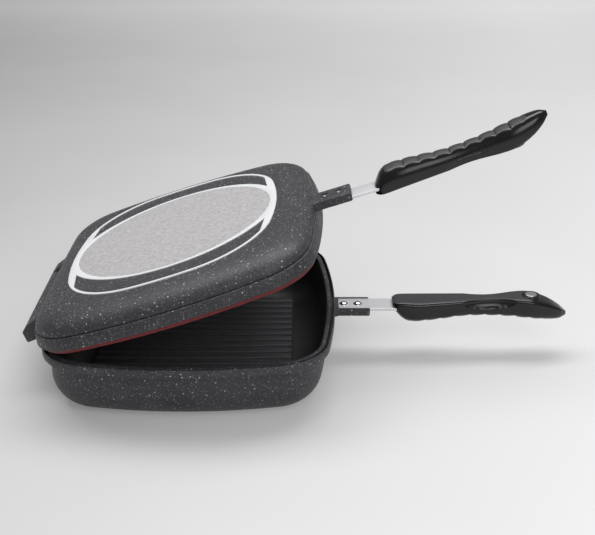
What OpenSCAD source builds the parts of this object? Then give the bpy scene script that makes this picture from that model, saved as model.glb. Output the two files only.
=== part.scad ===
// Double sided flip pan: a deep ribbed half and a shallow half on one hinge,
// each with a steel strip handle and a moulded grip. Millimetres, Z up,
// X from the hinge to the handles, origin in the middle of the lower base.

/* [Outline of both halves] */
// Half length from the middle to the handle side
half_x = 145; // [141:1:150]
// Half length from the middle to the hinge side
hinge_half = 138; // [134:0.5:142]
// Half width from the middle to a long side
half_y = 157; // [152:1:162]
// Bulge radius of the handle side
bulge_x = 694; // [600:10:800]
// Bulge radius of the hinge side, which is nearly straight
hinge_bulge = 3000; // [2000:100:4000]
// Bulge radius of the two long sides
bulge_y = 475; // [430:5:520]
// Radius of the four corners
corner_r = 55; // [52:1:60]
// Width of the flat strip on top of each rim
rim_w = 8.5; // [7.5:0.5:10]

/* [Lower pan] */
// Height of the lower rim above the floor
lower_h = 61.6; // [55:0.2:70]
// Height of the band round the lower rim
band_h = 9; // [7:0.5:11]
// How far the band stands proud of the body
band_out = 7.5; // [6:0.5:9]
// Rounding between the body and the base
lower_round = 32; // [26:1:34]
// Wall thickness of the body
wall_t = 4; // [3:0.5:5]
// Thickness of the cooking floors
floor_t = 5; // [4:0.5:6]

/* [Ribs] */
// Spacing of the ribs on the lower cooking floor
rib_pitch = 13.4; // [11:0.2:16]
// Height of a rib
rib_h = 3; // [2:0.5:4]
// Width of a rib at its foot
rib_w = 9.6; // [8:0.2:11]
// Width of a rib at its top
rib_top_w = 8.4; // [6:0.2:9.4]
// Half length of the ribs
rib_half = 102; // [90:1:104]

/* [Upper pan] */
// Depth of the upper half, from its edge to its foot ring
upper_h = 29.4; // [26:0.2:36]
// Height of the plain skirt above the edge
skirt_h = 11.1; // [9:0.1:13]
// Step in from the skirt to the shoulder
skirt_step = 1.8; // [1:0.1:2.4]
// How far the skirt's lip stands out past the lower rim
lip_out = 2.4; // [2:0.1:3]
// How far the lip hangs below the upper rim
lip_drop = 1; // [0.6:0.1:2]
// Clearance of the lip round the lower rim
lip_fit = 0.4; // [0.3:0.1:0.6]
// Reach of the shoulder, from the skirt in towards the foot ring
shoulder_w = 37; // [34:0.5:40]
// Inner rounding of the upper half
upper_inner_r = 16; // [14:1:18]
// Gap between the two metal rims when the pan is shut
shut_gap = 0.4; // [0.3:0.1:1]

/* [Base rings and discs] */
// How far the foot ring stands proud of the coated base
foot_h = 0.9; // [0.5:0.1:1.5]
// Half length of the foot ring
foot_x = 108.3; // [102:0.1:112]
// Half width of the foot ring
foot_y = 124.2; // [118:0.1:128]
// Bulge radius of the foot ring's short sides
foot_bulge_x = 328; // [300:2:360]
// Bulge radius of the foot ring's long sides
foot_bulge_y = 308; // [280:2:330]
// Corner radius of the foot ring
foot_corner = 82; // [76:1:88]
// Width of the foot ring
foot_w = 3; // [2:0.5:5]
// Half length of the machined oval round the disc
land_x = 109.8; // [108:0.1:112]
// Half width of the machined oval round the disc
land_y = 97.6; // [94:0.1:102]
// Width of the oval land at the ends of the disc
land_end_w = 8.3; // [7:0.1:10]
// Width of the oval land at the sides of the disc
land_side_w = 3.6; // [2:0.2:5]
// Depth of the coated hollows beside the oval land
hollow_depth = 0.8; // [0.4:0.1:1.4]
// Half length of the coated hollows beside the oval land, to their tips
hollow_x = 99; // [92:1:102]
// Length over which a hollow draws in to its tip
hollow_tip = 4; // [2:1:8]
// Thickness of the steel disc
disc_t = 1.6; // [1:0.1:2.5]
// Clearance round the steel disc
disc_fit = 0.1; // [0.05:0.05:0.3]

/* [Seal] */
// Distance from the outline to the seal
seal_in = 1.6; // [1.4:0.1:2]
// Thickness of the seal
seal_t = 2; // [1.5:0.1:2.5]
// How far the seal hangs below the upper rim
seal_drop = 6.4; // [5.6:0.1:6.6]
// Depth of the seal's seat in the upper rim
seal_seat = 2; // [1.5:0.1:3]
// Clearance of the seal in its seat
seal_fit = 0.1; // [0.05:0.05:0.2]
// Clearance of the seal in the lower groove
groove_fit = 0.4; // [0.3:0.1:0.6]

/* [Hinge] */
// Distance from the pan's outline to the hinge axis
pin_out = 15.5; // [15.2:0.1:16.5]
// Height of the hinge axis below the lower rim
pin_drop = 2.3; // [1.5:0.1:3]
// Radius of the hinge pin
pin_r = 2.5; // [2:0.1:3]
// Radial clearance of the pin in the turning arms
pin_fit = 0.06; // [0.02:0.01:0.1]
// Radial clearance of the pin in the fixed barrel
pin_press = 0.02; // [0.01:0.01:0.05]
// Radius of the barrel on the lower pan
barrel_r = 6; // [5:0.1:6.4]
// How far the web that carries the barrel hangs below it
web_drop = 1; // [0.6:0.1:1.4]
// Distance from the middle to the inner face of an arm
arm_in = 59.5; // [57:0.5:65]
// Width of an arm
arm_w = 17.5; // [14:0.5:20]
// Wall left at the blind end of the pin hole
arm_blind = 3; // [2:0.5:4]
// Thickness of a hinge washer
washer_t = 0.8; // [0.5:0.1:1.5]
// Radius of a hinge washer
washer_r = 5; // [4:0.1:5.5]
// Running gap at each face of a washer
washer_gap = 0.1; // [0.05:0.05:0.3]
// Opening of the upper half at rest
tilt = 18; // [0:1:70]

/* [Handle bosses] */
// Length of a boss beyond the outline
boss_len = 36; // [32:1:42]
// Half width of a boss
boss_half = 14; // [13.6:0.2:18]
// Distance from the strip's face to the boss's open edge
boss_lip = 0.8; // [0.4:0.1:1.5]
// Thickness of the boss floor under the strip
boss_floor = 5.5; // [5:0.1:7]
// Start of the channel beyond the outline
channel_start = 3; // [2:0.5:4]

/* [Strips] */
// Thickness of a handle strip
strip_t = 2.5; // [2:0.1:3]
// Width of a strip between the pan and the grip
strip_w = 24.5; // [20:0.5:25]
// Width of a strip inside the grip
strip_in_w = 14; // [12:0.5:16]
// Clearance round a strip
strip_fit = 0.1; // [0.05:0.05:0.3]
// Depth of the lower strip below the lower rim
lower_strip_drop = 7; // [6:0.1:9]
// Height of the upper strip above the shut rims
upper_strip_rise = 9.4; // [8:0.1:11]
// Distance from the outline to the first strip screw
screw_start = 9.4; // [8.5:0.1:11]
// Spacing of the strip screws
screw_pitch = 14.4; // [12:0.1:16]
// Radius of a screw shank
screw_r = 2; // [1.5:0.1:2.2]
// Radius of a domed screw head
screw_head_r = 4.75; // [4:0.05:5]
// Height of a domed screw head
screw_head_h = 2.2; // [1.5:0.1:3]
// Clearance hole round a shank
screw_fit = 0.1; // [0.05:0.05:0.3]
// Width of a square nut
nut_w = 7; // [6.4:0.1:8]
// Thickness of a nut
nut_t = 2.4; // [2:0.1:3]
// Length of a nut pocket across the boss
pocket_len = 11; // [9:0.5:14]

/* [Grips] */
// Distance from the outline to the nose of a grip
nose_out = 59.4; // [50:0.2:70]
// Length of a grip
grip_len = 180; // [172:1:195]
// Depth from the nose line of a grip to its strip
strip_depth = 5; // [4:0.1:6]
// Length of the grip's nose that overhangs the strip
nose_lap = 5; // [4:0.5:7]
// Clearance between a grip's nose and its strip
nose_fit = 0.4; // [0.3:0.1:0.8]
// Upward set of the upper grip
upper_grip_set = 4; // [0:0.5:5]
// Distance from the tip of a grip to the magnet
magnet_in = 37; // [34:1:42]
// Radius of a magnet
magnet_r = 6; // [5:0.1:6.5]
// Thickness of a magnet
magnet_t = 4.2; // [3:0.1:5]
// Radius of a magnet cup
cup_r = 9.5; // [8.5:0.1:10]
// Height of a magnet cup
cup_h = 7.4; // [6.6:0.1:8]
// How far a magnet stands proud of its cup
magnet_proud = 0.5; // [0.1:0.1:1]
// Clearance round the cup and the magnet
cup_fit = 0.1; // [0.05:0.05:0.2]
// Radius of a grip screw head
grip_head_r = 4.2; // [3.5:0.1:4.8]
// Height of a grip screw head
grip_head_h = 2.6; // [2:0.1:2.8]
// Length of a grip screw below its head
grip_screw_len = 10.5; // [9:0.1:11.5]

/* [Hidden] */
$fn = 48;

// Overlap of solids that are joined, and the overshoot of a cut
lap = 0.5;
// Steps in a quarter turn of a wall section, and along each arc of an outline
wall_steps = 8;
arc_steps = 8;
// Points of an oval
oval_points = 96;
// Points round a grip section and steps between two of its stations
grip_sides = 24;
grip_steps = 3;

granite = [0.33, 0.32, 0.35];
bright = [0.86, 0.86, 0.87];
steel = [0.74, 0.73, 0.71];
black = [0.08, 0.08, 0.09];

// Inset of the last ring of points on a floor
wall_reach = corner_r - 1;

pin_x = -hinge_half - pin_out;
pin_z = lower_h - pin_drop;
arm_out = arm_in + arm_w;
barrel_half = arm_in - washer_t - 2 * washer_gap;
pin_half = arm_out - arm_blind - lap;

boss_end = half_x + boss_len;
screw_x = [half_x + screw_start, half_x + screw_start + screw_pitch];
nose_x = half_x + nose_out;
nut_sink = 0.4;
nut_depth = nut_t + nut_sink;
screw_short = 0.2;
screw_len = strip_t + boss_floor - screw_short;

// Stations along a grip as parts of its length:
// place, mating face, outer face and half width
grip_stations = [
    [0, 1, -17, 13.4],
    [0.06, 1.4, -22, 14.6],
    [0.15, 1.2, -23.2, 15.8],
    [0.28, 1.9, -20.8, 14],
    [0.4, 2.6, -17.8, 12.2],
    [0.53, 3.2, -17, 11.4],
    [0.68, 4.6, -18, 12.6],
    [0.79, 4.3, -19.8, 15.2],
    [0.89, -0.9, -20.8, 13],
    [0.96, -7.6, -20.4, 8.6],
    [1, -13, -17.6, 2.4]
];
// Distance from the nose to the magnet, and height of the mating face there
magnet_at = grip_len - magnet_in;
magnet_face = 4.3;
// How far a cup stands out of the mating face
cup_stand = 1.1;
cup_top = magnet_face + cup_stand;
cup_floor = cup_top - cup_h;

// Corner centre of an outline: where the offset bulge circles of two sides meet
function corner_centre(ax, ay, rx, ry, rc) =
    let (
        c1 = [ax - rx, 0],
        c2 = [0, ay - ry],
        d = norm(c2 - c1),
        u = (c2 - c1) / d,
        along = ((rx - rc) * (rx - rc) - (ry - rc) * (ry - rc) + d * d) / (2 * d),
        off = sqrt((rx - rc) * (rx - rc) - along * along)
    )
    c1 + along * u + off * [-u[1], u[0]];

// The eight arcs of an outline, each as centre x, centre y, radius, start, sweep.
// The hinge side has its own half length hx and bulge radius hr
function arcs(ax, ay, rx, ry, rc, hx, hr) =
    let (
        c = corner_centre(ax, ay, rx, ry, rc),
        a = atan2(c[1], c[0] - (ax - rx)),
        b = atan2(c[1] - (ay - ry), c[0]),
        h = corner_centre(hx, ay, hr, ry, rc),
        p = atan2(h[1], h[0] - (hx - hr)),
        q = atan2(h[1] - (ay - ry), h[0])
    )
    [
        [ax - rx, 0, rx, -a, 2 * a],
        [c[0], c[1], rc, a, b - a],
        [0, ay - ry, ry, b, 180 - b - q],
        [-h[0], h[1], rc, 180 - q, q - p],
        [hr - hx, 0, hr, 180 - p, 2 * p],
        [-h[0], -h[1], rc, 180 + p, q - p],
        [0, ry - ay, ry, 180 + q, 180 - b - q],
        [c[0], -c[1], rc, 360 - b, b - a]
    ];

pan_arcs = arcs(half_x, half_y, bulge_x, bulge_y, corner_r, hinge_half, hinge_bulge);
foot_arcs = arcs(foot_x, foot_y, foot_bulge_x, foot_bulge_y, foot_corner, foot_x, foot_bulge_x);

// Points of an outline moved inwards, at one height
function outline(list, inset, z) = [
    for (s = list, k = [0:arc_steps - 1])
        let (a = s[3] + s[4] * k / arc_steps)
        [s[0] + (s[2] - inset) * cos(a), s[1] + (s[2] - inset) * sin(a), z]
];

function oval(rx, ry) = [
    for (k = [0:oval_points - 1])
        [rx * cos(360 * k / oval_points), ry * sin(360 * k / oval_points)]
];

// Quarter of an oval in a wall section, from the wall down to the floor
function quarter(cx, cz, across, down) = [
    for (k = [0:wall_steps])
        [cx - across * cos(90 * k / wall_steps), cz - down * sin(90 * k / wall_steps)]
];

function backwards(list) = [for (k = [len(list) - 1:-1:0]) list[k]];

// Solid through rings of points. A closed one joins its last ring to its first,
// an open one ends in a flat face at each end
module loft(rings, closed = false) {
    n = len(rings[0]);
    m = len(rings);
    points = [for (r = rings, p = r) p];
    sides = [
        for (i = [0:m - (closed ? 1 : 2)], k = [0:n - 1], half = [0, 1])
            let (
                a = i * n + k,
                b = i * n + (k + 1) % n,
                c = (i + 1) % m * n + (k + 1) % n,
                d = (i + 1) % m * n + k
            )
            half == 0 ? [a, c, b] : [a, d, c]
    ];
    ends = [
        for (k = [1:n - 2], end = [0, 1])
            end == 0 ? [0, k, k + 1] : [(m - 1) * n, (m - 1) * n + k + 1, (m - 1) * n + k]
    ];
    polyhedron(points = points, faces = closed ? sides : concat(sides, ends));
}

// Sweeps a section, given as inset and height, round an outline
module round_outline(list, section, closed = true) {
    loft([for (p = section) outline(list, p[0], p[1])], closed);
}

// A band of one thickness round an outline, from height z0 to z1
module band(list, inset, width, z0, z1) {
    round_outline(list, [[inset + width, z0], [inset, z0], [inset, z1], [inset + width, z1]]);
}

// Lower wall section, from the middle of the base out, up and back to the middle
lower_cx = band_out + lower_round;
lower_inner_r = lower_round - wall_t;
lower_section = concat(
    [[wall_reach, foot_h]],
    backwards(quarter(lower_cx, foot_h + lower_round, lower_round, lower_round)),
    [
        [band_out, lower_h - band_h],
        [0, lower_h - band_h],
        [0, lower_h],
        [seal_in - groove_fit, lower_h],
        [seal_in - groove_fit, lower_h - seal_drop],
        [seal_in + seal_t + groove_fit, lower_h - seal_drop],
        [seal_in + seal_t + groove_fit, lower_h],
        [rim_w, lower_h]
    ],
    quarter(lower_cx, foot_h + floor_t + lower_inner_r, lower_inner_r, lower_inner_r),
    [[wall_reach, foot_h + floor_t]]
);

// Upper wall section, measured from the foot ring towards the edge
shoulder_h = upper_h - foot_h - skirt_h;
upper_section = concat(
    [[wall_reach, foot_h]],
    backwards(quarter(skirt_step + shoulder_w, foot_h + shoulder_h, shoulder_w, shoulder_h)),
    [
        [0, upper_h - skirt_h],
        [-lip_out, upper_h + lip_drop],
        [-lip_fit, upper_h + lip_drop],
        [-lip_fit, upper_h],
        [rim_w, upper_h]
    ],
    quarter(rim_w + upper_inner_r, foot_h + floor_t + upper_inner_r, upper_inner_r, upper_inner_r),
    [[wall_reach, foot_h + floor_t]]
);

// Foot plate under a base, which the hollows leave as a ring and an oval land
module foot_plate() {
    linear_extrude(foot_h + floor_t / 2)
        polygon([for (p = outline(foot_arcs, 0, 0)) [p[0], p[1]]]);
}

// Coated hollows between the foot ring and the oval land
module base_hollows() {
    inner_edge = [for (p = oval(land_x, land_y)) if (p[1] > 0 && abs(p[0]) < hollow_x) p];
    outer_edge = [
        for (p = outline(foot_arcs, foot_w, 0))
            if (p[1] > 0 && abs(p[0]) < hollow_x - hollow_tip) [p[0], p[1]]
    ];
    for (side = [0, 1])
        mirror([0, side, 0])
            translate([0, 0, -lap])
                linear_extrude(hollow_depth + lap)
                    polygon(concat(outer_edge, backwards(inner_edge)));
}

module disc_seat() {
    translate([0, 0, -lap])
        linear_extrude(disc_t + lap)
            polygon(oval(land_x - land_end_w, land_y - land_side_w));
}

// One pan: walls, floor and base ring, standing on its base
module pan_body(section) {
    difference() {
        union() {
            round_outline(pan_arcs, section, closed = false);
            foot_plate();
        }
        base_hollows();
        disc_seat();
    }
}

module base_disc() {
    linear_extrude(disc_t)
        polygon(oval(land_x - land_end_w - disc_fit, land_y - land_side_w - disc_fit));
}

// Ribs of the lower cooking floor, as one comb drawn across the pan
rib_count = floor((half_y - lower_cx - rib_w / 2) / rib_pitch);
module ribs() {
    top = foot_h + floor_t;
    translate([-rib_half, 0, 0])
        rotate([90, 0, 90])
            linear_extrude(2 * rib_half)
                for (k = [-rib_count:rib_count])
                    polygon([
                        [k * rib_pitch - rib_w / 2, top - lap],
                        [k * rib_pitch + rib_w / 2, top - lap],
                        [k * rib_pitch + rib_w / 2, top],
                        [k * rib_pitch + rib_top_w / 2, top + rib_h],
                        [k * rib_pitch - rib_top_w / 2, top + rib_h],
                        [k * rib_pitch - rib_w / 2, top]
                    ]);
}

// Channel boss for a strip. The strip's face lies at height 0, the boss opens upwards
boss_root = half_x - rim_w + lap;
module boss() {
    translate([boss_root, -boss_half, -strip_t - boss_floor])
        cube([boss_end - boss_root, 2 * boss_half, strip_t + boss_floor + boss_lip]);
}

module boss_cuts() {
    translate([half_x + channel_start, -strip_w / 2 - strip_fit, -strip_t])
        cube([boss_len, strip_w + 2 * strip_fit, strip_t + boss_lip + lap]);
    for (x = screw_x) {
        translate([x, 0, -strip_t - boss_floor - lap])
            cylinder(r = screw_r + screw_fit, h = boss_floor + 2 * lap);
        translate([x - nut_w / 2 - screw_fit, -pocket_len / 2, -strip_t - boss_floor - lap])
            cube([nut_w + 2 * screw_fit, pocket_len, nut_depth + lap]);
    }
}

// Places for the pieces of each half
module at_lower_strip() {
    translate([0, 0, lower_h - lower_strip_drop]) children();
}

// Turns a piece of the shut upper half to the rest opening
module opened() {
    translate([pin_x, 0, pin_z])
        rotate([0, -tilt, 0])
            translate([-pin_x, 0, -pin_z])
                children();
}

module on_upper_base() {
    opened()
        translate([0, 0, lower_h + shut_gap + upper_h])
            mirror([0, 0, 1])
                children();
}

module at_upper_strip() {
    opened()
        translate([0, 0, lower_h + upper_strip_rise])
            mirror([0, 0, 1])
                children();
}

module at_lower_grip() {
    translate([nose_x, 0, lower_h - lower_strip_drop + strip_depth]) children();
}

module at_upper_grip() {
    opened()
        translate([nose_x, 0, lower_h + upper_strip_rise - strip_depth])
            rotate([0, -upper_grip_set, 0])
                mirror([0, 0, 1])
                    children();
}

// Barrel and web on the hinge side of the lower pan
web_root = hinge_half - band_out + 2 * lap;
web_low = pin_z - barrel_r - web_drop;
module barrel() {
    translate([pin_x, barrel_half, pin_z]) rotate([90, 0, 0]) cylinder(r = barrel_r, h = 2 * barrel_half);
    translate([pin_x, -barrel_half, web_low])
        cube([-pin_x - web_root, 2 * barrel_half, lower_h - seal_drop - groove_fit - web_low]);
}

module lower_pan() {
    color(granite)
        difference() {
            union() {
                pan_body(lower_section);
                ribs();
                barrel();
                at_lower_strip() boss();
            }
            at_lower_strip() boss_cuts();
            translate([pin_x, barrel_half + lap, pin_z])
                rotate([90, 0, 0])
                    cylinder(r = pin_r + pin_press, h = 2 * (barrel_half + lap));
        }
}

// Side view of a hinge arm, from the axis, in the shut position
arm_reach = pin_out + rim_w - lap;
arm_heel = 9.4;
arm_toe = 3.1;
arm_nose = 6.4;
arm_brow = 2.3;
arm_crown = 7.7;
arm_slant = 0.6;
arm_foot = shut_gap + pin_drop;
arm_top = arm_foot + skirt_h - 1;
// Room between the slanted face of an arm and the edge of the lower rim
arm_gap = 1.5;
arm_side = [
    [-arm_nose, arm_brow],
    [lap, arm_crown],
    [pin_out - lap, arm_top],
    [arm_reach, arm_top],
    [arm_reach, arm_foot],
    [pin_out - arm_gap, arm_foot],
    [arm_toe, arm_slant - arm_heel],
    [arm_slant - arm_nose, -arm_heel]
];
module arms() {
    for (y = [-arm_out, arm_in])
        translate([pin_x, y + arm_w, pin_z])
            rotate([90, 0, 0])
                linear_extrude(arm_w)
                    polygon(arm_side);
}

module pin_holes() {
    translate([pin_x, arm_out + lap, pin_z])
        rotate([90, 0, 0])
            cylinder(r = pin_r + pin_fit, h = 2 * arm_out - arm_blind + lap);
}

// The seal's seat in the upper rim and in the roots of the arms
module seal_seat_cut() {
    band(pan_arcs, seal_in - seal_fit, seal_t + 2 * seal_fit, upper_h - seal_seat, upper_h + lap);
}

module upper_pan() {
    color(granite)
        difference() {
            union() {
                on_upper_base() pan_body(upper_section);
                opened() arms();
                at_upper_strip() boss();
            }
            at_upper_strip() boss_cuts();
            opened() pin_holes();
            on_upper_base() seal_seat_cut();
        }
}

module lower_base_disc() {
    color(steel) base_disc();
}

module upper_base_disc() {
    color(steel) on_upper_base() base_disc();
}

module rim_seal() {
    color([0.55, 0.12, 0.1])
        on_upper_base()
            band(pan_arcs, seal_in, seal_t, upper_h - seal_seat, upper_h + seal_drop - groove_fit);
}

// Steel strip: the wide part between boss and grip
strip_start = half_x + channel_start + lap;
strip_gap = 0.8;
module strip_root() {
    difference() {
        translate([strip_start, -strip_w / 2, -strip_t])
            cube([nose_x + nose_lap - strip_gap - strip_start, strip_w, strip_t]);
        for (x = screw_x)
            translate([x, 0, -strip_t - lap]) cylinder(r = screw_r + screw_fit, h = strip_t + 2 * lap);
    }
}

// Steel strip: the narrow part inside the grip, to a little past the screw's head
strip_stop = magnet_at + grip_head_r + 3;
module strip_end() {
    difference() {
        translate([-lap, -strip_in_w / 2, -strip_depth - strip_t])
            cube([strip_stop + lap, strip_in_w, strip_t]);
        translate([magnet_at, 0, -strip_depth - strip_t - lap])
            cylinder(r = screw_r + screw_fit, h = strip_t + 2 * lap);
    }
}

module lower_tang() {
    color(bright) {
        at_lower_strip() strip_root();
        at_lower_grip() strip_end();
    }
}

module upper_tang() {
    color(bright) {
        at_upper_strip() strip_root();
        at_upper_grip() strip_end();
    }
}

// Domed screws through the strip, as a cap of a sphere on a shank
dome_r = (screw_head_r * screw_head_r + screw_head_h * screw_head_h) / (2 * screw_head_h);
module tang_screws() {
    for (x = screw_x)
        translate([x, 0, 0]) {
            intersection() {
                translate([0, 0, screw_head_h - dome_r]) sphere(r = dome_r);
                cylinder(r = screw_head_r + lap, h = screw_head_h + lap);
            }
            translate([0, 0, -screw_len]) cylinder(r = screw_r, h = screw_len + lap);
        }
}

module tang_nuts() {
    for (x = screw_x)
        difference() {
            translate([x - nut_w / 2, -nut_w / 2, -strip_t - boss_floor + nut_depth - nut_t])
                cube([nut_w, nut_w, nut_t]);
            translate([x, 0, -strip_t - boss_floor - lap])
                cylinder(r = screw_r + screw_fit / 2, h = nut_depth + 2 * lap);
        }
}

module lower_tang_screws() {
    color(bright) at_lower_strip() tang_screws();
}

module upper_tang_screws() {
    color(bright) at_upper_strip() tang_screws();
}

module lower_tang_nuts() {
    color(steel) at_lower_strip() tang_nuts();
}

module upper_tang_nuts() {
    color(steel) at_upper_strip() tang_nuts();
}

// Smooth value between stations k and k + 1 at part t
function smooth(k, t) =
    let (
        last = len(grip_stations) - 1,
        p0 = grip_stations[max(k - 1, 0)],
        p1 = grip_stations[k],
        p2 = grip_stations[min(k + 1, last)],
        p3 = grip_stations[min(k + 2, last)]
    )
    p1 + t / 2 * (p2 - p0) + t * t * (p0 - 2.5 * p1 + 2 * p2 - p3 / 2)
        + t * t * t * (1.5 * p1 - p0 / 2 - 1.5 * p2 + p3 / 2);

// Half circle value drawn towards a rounded square by power n
function squared(v, n) = sign(v) * pow(abs(v), 2 / n);

// One section of a grip: nearly flat mating face, rounded outer face, widest at its waist
waist_part = 0.36;
face_power = 4;
back_power = 2.6;
function grip_ring(g) =
    let (waist = g[1] - waist_part * (g[1] - g[2]))
    [
        for (k = [0:grip_sides - 1])
            let (
                a = 360 * (k + 0.5) / grip_sides,
                n = sin(a) > 0 ? face_power : back_power,
                reach = sin(a) > 0 ? g[1] - waist : waist - g[2]
            )
            [g[0] * grip_len, g[3] * squared(cos(a), n), waist + reach * squared(sin(a), n)]
    ];

grip_rings = [
    for (k = [0:len(grip_stations) - 2], j = [0:grip_steps - 1]) grip_ring(smooth(k, j / grip_steps)),
    grip_ring(grip_stations[len(grip_stations) - 1])
];

// Height of a cut that clears the whole depth of a grip
clear_cut = 40;
head_fit = 0.3;
module grip() {
    slot = strip_in_w / 2 + strip_fit;
    difference() {
        loft(grip_rings);
        translate([-lap, -2 * boss_half, -clear_cut])
            cube([nose_lap + lap, 4 * boss_half, clear_cut - strip_depth + nose_fit]);
        translate([0, -slot, -strip_depth - strip_t - strip_fit])
            cube([strip_stop + 2 * strip_fit, 2 * slot, strip_t + 2 * strip_fit]);
        translate([magnet_at, 0, cup_floor]) cylinder(r = cup_r + cup_fit, h = cup_h + lap);
        translate([magnet_at, 0, -strip_depth - strip_t])
            cylinder(r = grip_head_r + head_fit, h = cup_h + strip_t);
        translate([magnet_at, 0, -strip_depth - grip_screw_len - head_fit])
            cylinder(r = screw_r + screw_fit / 2, h = grip_screw_len);
    }
}

module grip_screw() {
    translate([magnet_at, 0, -strip_depth]) cylinder(r = grip_head_r, h = grip_head_h);
    translate([magnet_at, 0, -strip_depth - grip_screw_len]) cylinder(r = screw_r, h = grip_screw_len + lap);
}

magnet_floor = cup_top + magnet_proud - magnet_t;
module magnet_cup() {
    translate([magnet_at, 0, 0])
        difference() {
            translate([0, 0, cup_floor]) cylinder(r = cup_r, h = cup_h);
            translate([0, 0, magnet_floor]) cylinder(r = magnet_r + cup_fit, h = magnet_t + lap);
        }
}

module magnet() {
    translate([magnet_at, 0, magnet_floor]) cylinder(r = magnet_r, h = magnet_t);
}

module lower_grip() {
    color(black) at_lower_grip() grip();
}

module upper_grip() {
    color(black) at_upper_grip() grip();
}

module lower_grip_screw() {
    color(steel) at_lower_grip() grip_screw();
}

module upper_grip_screw() {
    color(steel) at_upper_grip() grip_screw();
}

module lower_magnet_cup() {
    color(black) at_lower_grip() magnet_cup();
}

module upper_magnet_cup() {
    color(black) at_upper_grip() magnet_cup();
}

module lower_magnet() {
    color(bright) at_lower_grip() magnet();
}

module upper_magnet() {
    color(bright) at_upper_grip() magnet();
}

module hinge_pin() {
    color(bright)
        translate([pin_x, pin_half, pin_z])
            rotate([90, 0, 0])
                cylinder(r = pin_r, h = 2 * pin_half);
}

module hinge_washers() {
    color(bright)
        for (y = [-barrel_half - washer_gap, barrel_half + washer_gap + washer_t])
            translate([pin_x, y, pin_z])
                rotate([90, 0, 0])
                    difference() {
                        cylinder(r = washer_r, h = washer_t);
                        translate([0, 0, -lap]) cylinder(r = pin_r + pin_fit, h = washer_t + 2 * lap);
                    }
}

lower_pan();
lower_base_disc();
lower_tang();
lower_tang_screws();
lower_tang_nuts();
lower_grip();
lower_grip_screw();
lower_magnet_cup();
lower_magnet();
upper_pan();
upper_base_disc();
rim_seal();
upper_tang();
upper_tang_screws();
upper_tang_nuts();
upper_grip();
upper_grip_screw();
upper_magnet_cup();
upper_magnet();
hinge_pin();
hinge_washers();
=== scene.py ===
"""Looks of a double sided flip pan: two cast halves on one hinge, each with a strip handle and a grip."""

import logging
import math
from dataclasses import dataclass, replace
from enum import Enum

import bmesh
import bpy
from bmesh.types import BMEdge, BMesh, BMVert
from bpy.types import ID, Material, Mesh, Node, NodeSocket, Object
from mathutils import Matrix, Vector


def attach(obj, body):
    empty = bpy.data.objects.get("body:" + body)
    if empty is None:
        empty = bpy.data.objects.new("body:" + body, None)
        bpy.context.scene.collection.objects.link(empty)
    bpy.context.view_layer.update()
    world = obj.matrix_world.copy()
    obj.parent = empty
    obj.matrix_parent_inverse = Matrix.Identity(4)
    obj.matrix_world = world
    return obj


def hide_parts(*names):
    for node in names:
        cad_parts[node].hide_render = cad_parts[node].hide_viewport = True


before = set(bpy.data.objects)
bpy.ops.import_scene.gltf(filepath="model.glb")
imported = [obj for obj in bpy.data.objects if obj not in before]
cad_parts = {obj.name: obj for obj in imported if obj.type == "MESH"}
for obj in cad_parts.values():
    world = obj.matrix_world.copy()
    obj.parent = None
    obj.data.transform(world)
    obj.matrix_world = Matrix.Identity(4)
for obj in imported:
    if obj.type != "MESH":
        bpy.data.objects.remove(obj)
log = logging.getLogger("flip_pan")

Pair = tuple[float, float]
Triple = tuple[float, float, float]

METRES = Matrix.Scale(0.001, 4)
FLIPPED = Matrix.Diagonal((1, 1, -1, 1))
# Millimetres within which points are welded, and within which they count as level
WELD = 0.002
LEVEL = 0.01
# Angle in radians past which an edge counts as a corner
CORNER_TURN = 1
# Cosine past which a face counts as facing a direction
FACING = 0.5


class Half(Enum):
    """The two halves of the pan, by the body that each rides on."""

    LOWER = "lower_half"
    UPPER = "upper_half"

    def named(self, name: str) -> str:
        """Return the name of a piece or node of this half."""
        return self.value.replace("half", name)


class Wear(Enum):
    """Direction of the fine marks in a metal finish."""

    ALONG = (0.04, 1.0, 1.0)
    NONE = (1.0, 1.0, 1.0)


# ---------------------------------------------------------------- places


def raised(height: float) -> Matrix:
    """Return a move upwards."""
    return Matrix.Translation((0, 0, height))


def turned(degrees: float, axis: str) -> Matrix:
    """Return a turn about an axis."""
    return Matrix.Rotation(math.radians(degrees), 4, axis)


@dataclass(frozen=True)
class Places:
    """Where the pieces of each half stand, in millimetres, at the rest opening of the hinge."""

    pin_x: float = -153.5
    pin_z: float = 59.3
    tilt: float = 18.0
    upper_base: float = 91.4
    lower_strip: float = 54.6
    upper_strip: float = 71.0
    nose_x: float = 204.4
    strip_depth: float = 5.0
    grip_set: float = 4.0

    def pin(self) -> Matrix:
        """Return the place of the hinge axis on the lower half."""
        return Matrix.Translation((self.pin_x, 0, self.pin_z))

    def opened(self) -> Matrix:
        """Return the turn of the upper half about the hinge."""
        return self.pin() @ turned(-self.tilt, "Y") @ self.pin().inverted()

    def hinge(self, half: Half) -> Matrix:
        """Return the place of a piece that is drawn from the hinge axis."""
        return self.pin() if half is Half.LOWER else self.opened() @ self.pin()

    def base(self, half: Half) -> Matrix:
        """Return the place of a piece that stands on the half's own base."""
        if half is Half.LOWER:
            return Matrix.Identity(4)
        return self.opened() @ raised(self.upper_base) @ FLIPPED

    def strip(self, half: Half) -> Matrix:
        """Return the place of a piece that is drawn from the face of the half's strip."""
        if half is Half.LOWER:
            return raised(self.lower_strip)
        return self.opened() @ raised(self.upper_strip) @ FLIPPED

    def grip(self, half: Half) -> Matrix:
        """Return the place of a piece that is drawn from the nose of the half's grip."""
        if half is Half.LOWER:
            return Matrix.Translation((self.nose_x, 0, self.lower_strip + self.strip_depth))
        nose = Matrix.Translation((self.nose_x, 0, self.upper_strip - self.strip_depth))
        return self.opened() @ nose @ turned(-self.grip_set, "Y") @ FLIPPED


# ---------------------------------------------------------------- finishes

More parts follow.
